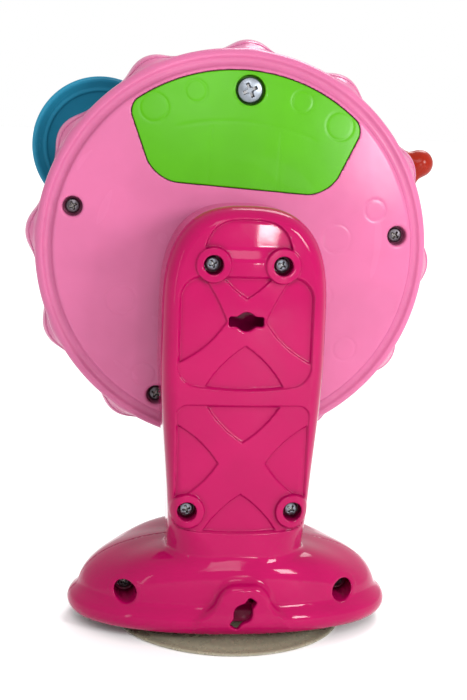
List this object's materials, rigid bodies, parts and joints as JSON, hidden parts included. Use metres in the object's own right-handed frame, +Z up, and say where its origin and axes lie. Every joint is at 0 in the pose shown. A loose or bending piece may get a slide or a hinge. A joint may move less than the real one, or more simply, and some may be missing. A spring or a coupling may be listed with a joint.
{
  "type": "activity wheel toy",
  "caption": "Baby's table-top activity wheel: a round battery housing with spinners that turns on a hollow column over an oval foot with a suction cup.",
  "frame": {"origin": "under the middle of the bounding box, on the plane of the suction cup's lip", "axes": "+Z up, +Y out of the back where the column and the battery door are, +X to the left seen from behind"},
  "size_m": [0.165, 0.101, 0.2186],
  "materials": {
    "stand_plastic": "glossy moulded magenta",
    "wheel_plastic": "glossy moulded pale pink",
    "door_plastic": "semi-gloss moulded lime green",
    "cup_rubber": "translucent soft grey-beige",
    "teal_plastic": "glossy teal blue",
    "orange_plastic": "glossy orange red",
    "yellow_plastic": "glossy yellow",
    "button_plastic": "translucent violet",
    "mirror_film": "mirror film",
    "screw_steel": "zinc-plated",
    "contact_steel": "nickel-plated spring steel",
    "natural_nylon": "natural nylon",
    "black_parts": "black",
    "battery_case": "printed metal sleeve",
    "board": "green laminate",
    "led_lens": "clear epoxy"
  },
  "bodies": {
    "stand": {"stand_front_shell": "stand_plastic", "stand_rear_shell": "stand_plastic", "suction_cup": "cup_rubber", "column_screw_upper_left": "screw_steel", "column_screw_upper_right": "screw_steel", "column_screw_lower_left": "screw_steel", "column_screw_lower_right": "screw_steel", "base_screw_left": "screw_steel", "base_screw_right": "screw_steel", "axle": "screw_steel", "thrust_washer": "natural_nylon", "axle_washer": "screw_steel", "axle_screw": "screw_steel"},
    "wheel": {"wheel_front_shell": "wheel_plastic", "wheel_back_shell": "wheel_plastic", "axle_bush": "natural_nylon", "case_screw_1": "screw_steel", "case_screw_2": "screw_steel", "case_screw_3": "screw_steel", "case_screw_4": "screw_steel", "battery_upper": "battery_case", "battery_lower": "battery_case", "contact_bridge": "contact_steel", "contact_positive": "contact_steel", "contact_negative": "contact_steel", "battery_spring_upper": "contact_steel", "battery_spring_lower": "contact_steel", "circuit_board": "board", "press_switch": "black_parts", "led_left": "led_lens", "led_right": "led_lens", "motion_sensor": "contact_steel", "sound_chip": "black_parts", "speaker": "contact_steel", "speaker_cone": "black_parts", "power_switch_body": "black_parts", "dish_pin": "natural_nylon", "star_pin": "yellow_plastic", "flower_pin": "orange_plastic"},
    "door": {"battery_door": "door_plastic"},
    "door_fastener": {"door_screw": "screw_steel"},
    "button": {"light_button": "button_plastic"},
    "switch_knob": {"power_switch_knob": "natural_nylon"},
    "dish": {"spinning_dish": "teal_plastic", "mirror": "mirror_film"},
    "star": {"ball_star": "orange_plastic"},
    "flower": {"flower": "yellow_plastic"}
  },
  "joints": [
    {"name": "wheel_spin", "type": "hinge", "parent": "stand", "child": "wheel", "pos_m": [0.003, -0.0105, 0.139], "axis": [0, 1, 0], "continuous": true},
    {"name": "battery_door_hinge", "type": "hinge", "parent": "wheel", "child": "door", "pos_m": [0.00148, 0.00074, 0.16255], "axis": [0.9979, 0, 0.0645], "range_deg": [-50, 0]},
    {"name": "door_screw_turn", "type": "hinge", "parent": "door", "child": "door_fastener", "pos_m": [-0.00085, -0.0055, 0.19858], "axis": [0, 1, 0], "continuous": true},
    {"name": "light_button_press", "type": "slide", "parent": "wheel", "child": "button", "axis": [0, 1, 0], "range_m": [0, 0.0015], "stiffness_N_per_m": 800, "springref_m": -0.0002},
    {"name": "power_switch_slide", "type": "slide", "parent": "wheel", "child": "switch_knob", "axis": [0.9979, 0, 0.0645], "range_m": [0, 0.004]},
    {"name": "dish_spin", "type": "hinge", "parent": "wheel", "child": "dish", "pos_m": [0.05319, -0.0405, 0.17574], "axis": [0, 1, 0], "continuous": true},
    {"name": "star_spin", "type": "hinge", "parent": "wheel", "child": "star", "pos_m": [-0.05098, -0.0405, 0.16281], "axis": [0, 1, 0], "continuous": true},
    {"name": "flower_spin", "type": "hinge", "parent": "wheel", "child": "flower", "pos_m": [0.00948, -0.0405, 0.07935], "axis": [0, 1, 0], "continuous": true}
  ]
}
